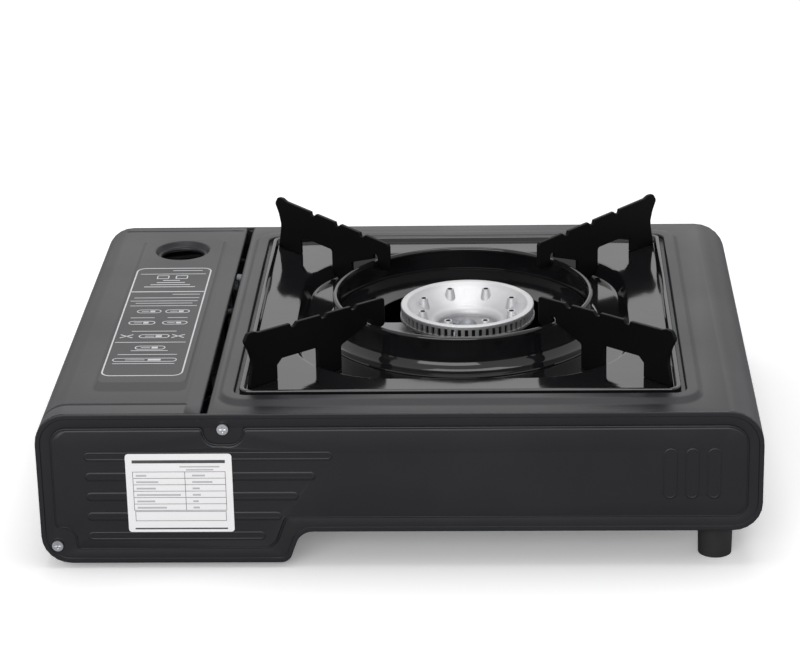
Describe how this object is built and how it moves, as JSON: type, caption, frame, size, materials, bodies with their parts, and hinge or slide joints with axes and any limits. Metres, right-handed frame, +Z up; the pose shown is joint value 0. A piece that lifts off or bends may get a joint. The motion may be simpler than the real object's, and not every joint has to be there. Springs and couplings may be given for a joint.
{
  "type": "butane cassette stove",
  "caption": "Portable butane stove: flat painted case with hinged canister lid, square enamelled pan, wind ring, notched pot arms and slotted burner.",
  "frame": {"origin": "middle of the whole stove's box, knob included, at the table", "axes": "+X towards the canister side, -Y towards the knob at the front, +Z up"},
  "size_m": [0.345, 0.2868, 0.1091],
  "materials": {
    "casing_paint": "satin",
    "enamel": "gloss",
    "arm_paint": "matte",
    "aluminium": "satin",
    "zinc_steel": "satin",
    "brass": "satin",
    "black_plastic": "matte",
    "rubber": "matte",
    "ceramic": "satin",
    "label": "satin"
  },
  "bodies": {
    "casing": {"top_shell": "casing_paint", "base_pan": "casing_paint", "back_panel": "casing_paint", "front_panel": "casing_paint", "divider": "zinc_steel", "burner_body": "aluminium", "flame_ring": "aluminium", "burner_cap": "aluminium", "burner_clamp": "zinc_steel", "mixing_tube": "aluminium", "burner_bracket": "zinc_steel", "lid_hinge_pins": "zinc_steel", "canister_cradle": "zinc_steel", "valve_bracket": "zinc_steel", "regulator_body": "aluminium", "diaphragm": "rubber", "regulator_cover": "aluminium", "socket_plate": "zinc_steel", "locating_tab": "zinc_steel", "socket_seal": "rubber", "valve_body": "brass", "piezo_igniter": "black_plastic", "piezo_clip": "zinc_steel", "gas_pipe": "aluminium", "injector": "brass", "injector_bracket": "zinc_steel", "electrode_ceramic": "ceramic", "electrode_wire": "zinc_steel", "electrode_bracket": "zinc_steel", "ignition_lead": "rubber", "lever_bracket": "zinc_steel", "lever_pivot": "zinc_steel", "slider_guides": "zinc_steel", "long_feet": "rubber", "rubber_pads": "rubber", "case_screws": "zinc_steel", "rating_label": "label"},
    "pan_support": {"drip_pan": "enamel", "wind_ring": "enamel", "arm_back_right": "arm_paint", "arm_back_left": "arm_paint", "arm_front_left": "arm_paint", "arm_front_right": "arm_paint"},
    "lid": {"lid": "casing_paint"},
    "knob": {"knob": "black_plastic", "valve_spindle": "brass", "piezo_cam": "black_plastic"},
    "igniter_plunger": {"piezo_plunger": "black_plastic"},
    "lever": {"lock_lever": "zinc_steel", "lever_tip": "black_plastic"},
    "slider": {"canister_slider": "zinc_steel"}
  },
  "joints": [
    {"name": "pan_lift", "type": "slide", "parent": "casing", "child": "pan_support", "axis": [0, 0, 1], "range_m": [0, 0.06]},
    {"name": "lid_hinge", "type": "hinge", "parent": "casing", "child": "lid", "pos_m": [0.0941, 0.00925, 0.0772], "axis": [0, -1, 0], "range_deg": [0, 90]},
    {"name": "knob_turn", "type": "hinge", "parent": "casing", "child": "knob", "pos_m": [0.131, -0.12475, 0.0413], "axis": [0, -1, 0], "range_deg": [0, 100]},
    {"name": "igniter_push", "type": "slide", "parent": "casing", "child": "igniter_plunger", "axis": [1, 0, 0], "range_m": [0, 0.0031]},
    {"name": "lock_lever_turn", "type": "hinge", "parent": "casing", "child": "lever", "pos_m": [0.0995, -0.10875, 0.04], "axis": [1, 0, 0], "range_deg": [0, 40]},
    {"name": "slider_pull", "type": "slide", "parent": "casing", "child": "slider", "axis": [0, -1, 0], "range_m": [0, 0.0083]}
  ],
  "couplings": [
    {"joint": "igniter_push", "follows": "knob_turn", "m_per_rad": 0.0017189},
    {"joint": "slider_pull", "follows": "lock_lever_turn", "m_per_rad": 0.011758}
  ]
}
